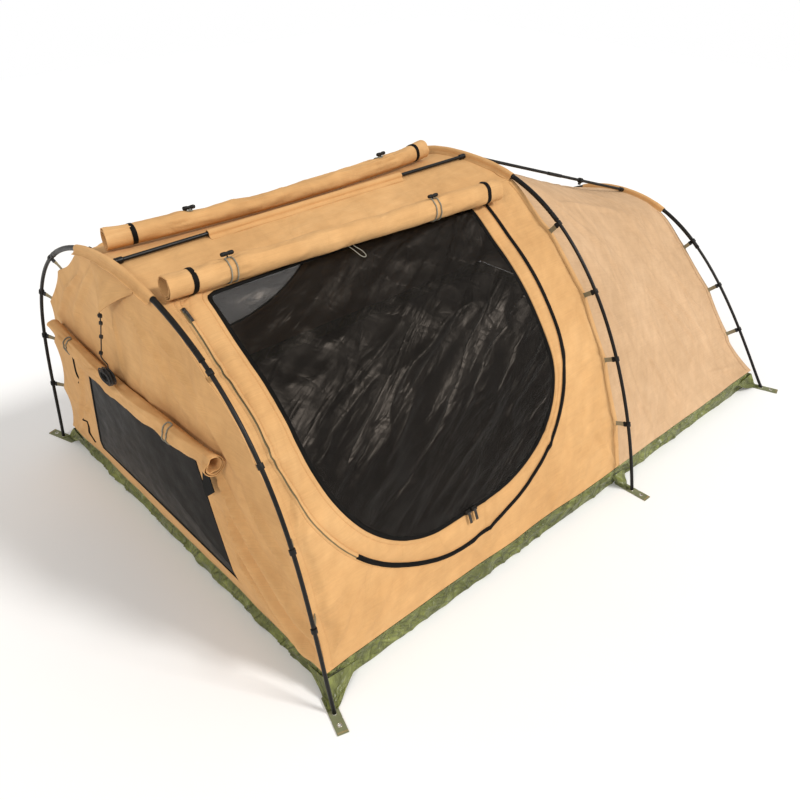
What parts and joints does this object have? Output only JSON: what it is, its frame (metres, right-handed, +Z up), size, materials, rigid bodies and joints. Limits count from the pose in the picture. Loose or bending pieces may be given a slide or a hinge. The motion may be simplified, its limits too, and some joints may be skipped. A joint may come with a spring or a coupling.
{
  "type": "swag bedroll",
  "caption": "Free-standing canvas swag tent on arched poles with tub floor, mattress, mesh side doors rolled open and a screened head window",
  "frame": {"origin": "middle of the tub floor's flat underside, on the ground", "axes": "+X to the foot end, -Y to the near side with its door rolled up, +Z up"},
  "size_m": [2.3445, 1.7392, 1.0205],
  "materials": {
    "black_plastic": "black moulded plastic",
    "canvas": "heavy cotton canvas, warm tan",
    "elastic": "grey braided elastic",
    "guy_cord": "black braided cord",
    "insect_mesh": "fine black insect mesh",
    "mattress_cover": "grey knitted cover",
    "pole": "black satin pole",
    "tub_fabric": "coated olive floor fabric",
    "webbing": "olive grey webbing",
    "zip": "black zip tape and coil"
  },
  "bodies": {
    "swag": {"far_door_mesh": "insect_mesh", "far_door_roll": "canvas", "far_door_zip": "zip", "far_foot_tie": "elastic", "far_head_tie": "elastic", "far_wall": "canvas", "floor_tub": "tub_fabric", "foot_canopy": "canvas", "foot_far_peg_tab": "webbing", "foot_hoop_crown": "pole", "foot_hoop_far_clips": "webbing", "foot_hoop_far_leg": "pole", "foot_hoop_near_clips": "webbing", "foot_hoop_near_leg": "pole", "foot_hoop_sleeve": "canvas", "foot_near_peg_tab": "webbing", "foot_panel": "canvas", "foot_ridge_pole": "pole", "guy_beak": "canvas", "guy_hank": "guy_cord", "guy_line": "guy_cord", "head_far_peg_tab": "webbing", "head_hoop_crown": "pole", "head_hoop_far_clips": "webbing", "head_hoop_far_leg": "pole", "head_hoop_near_clips": "webbing", "head_hoop_near_leg": "pole", "head_hoop_sleeve": "canvas", "head_near_peg_tab": "webbing", "head_panel": "canvas", "head_ridge_pole": "pole", "head_window_mesh": "insect_mesh", "mattress": "mattress_cover", "mid_far_peg_tab": "webbing", "mid_hoop_crown": "pole", "mid_hoop_far_clips": "webbing", "mid_hoop_far_leg": "pole", "mid_hoop_near_clips": "webbing", "mid_hoop_near_leg": "pole", "mid_hoop_sleeve": "canvas", "mid_near_peg_tab": "webbing", "near_door_mesh": "insect_mesh", "near_door_roll": "canvas", "near_door_zip": "zip", "near_foot_tie": "elastic", "near_head_tie": "elastic", "near_wall": "canvas", "ridge_sleeve": "canvas", "roof_panel": "canvas", "window_roll": "canvas", "window_tie": "elastic"},
    "mesh_head_slider": {"mesh_head_slider": "black_plastic"},
    "mesh_foot_slider": {"mesh_foot_slider": "black_plastic"},
    "mesh_head_pull": {"mesh_head_pull": "black_plastic"},
    "mesh_foot_pull": {"mesh_foot_pull": "black_plastic"},
    "near_head_toggle": {"near_head_toggle": "black_plastic"},
    "near_foot_toggle": {"near_foot_toggle": "black_plastic"},
    "far_head_toggle": {"far_head_toggle": "black_plastic"},
    "far_foot_toggle": {"far_foot_toggle": "black_plastic"},
    "window_tab": {"window_tab": "zip"}
  },
  "joints": [
    {"name": "mesh_head_slide", "type": "slide", "parent": "swag", "child": "mesh_head_slider", "axis": [1, 0.0014, -0.0022], "range_m": [-0.078, 0]},
    {"name": "mesh_head_pull_hinge", "type": "hinge", "parent": "mesh_head_slider", "child": "mesh_head_pull", "pos_m": [-0.53989, -0.70612, 0.2604], "axis": [-1, -0.0014, 0.0022], "range_deg": [0, 150]},
    {"name": "mesh_foot_slide", "type": "slide", "parent": "swag", "child": "mesh_foot_slider", "axis": [1, 0.0008, -0.002], "range_m": [0, 0.07]},
    {"name": "mesh_foot_pull_hinge", "type": "hinge", "parent": "mesh_foot_slider", "child": "mesh_foot_pull", "pos_m": [-0.51593, -0.70609, 0.26036], "axis": [-1, -0.0008, 0.002], "range_deg": [0, 150]},
    {"name": "near_head_toggle_turn", "type": "hinge", "parent": "swag", "child": "near_head_toggle", "pos_m": [-0.91819, -0.21679, 0.99252], "axis": [0, 0, 1], "range_deg": [-90, 90]},
    {"name": "near_foot_toggle_turn", "type": "hinge", "parent": "swag", "child": "near_foot_toggle", "pos_m": [-0.24954, -0.24361, 0.98388], "axis": [0, 0, 1], "range_deg": [-90, 90]},
    {"name": "far_head_toggle_turn", "type": "hinge", "parent": "swag", "child": "far_head_toggle", "pos_m": [-0.84557, 0.08052, 1.00896], "axis": [0, 0, 1], "range_deg": [-90, 90]},
    {"name": "far_foot_toggle_turn", "type": "hinge", "parent": "swag", "child": "far_foot_toggle", "pos_m": [-0.16257, 0.07922, 1.01539], "axis": [0, 0, 1], "range_deg": [-90, 90]},
    {"name": "window_tab_hinge", "type": "hinge", "parent": "swag", "child": "window_tab", "pos_m": [-1.14994, -0.3901, 0.57755], "axis": [0, 1, 0], "range_deg": [-4, 100]}
  ]
}
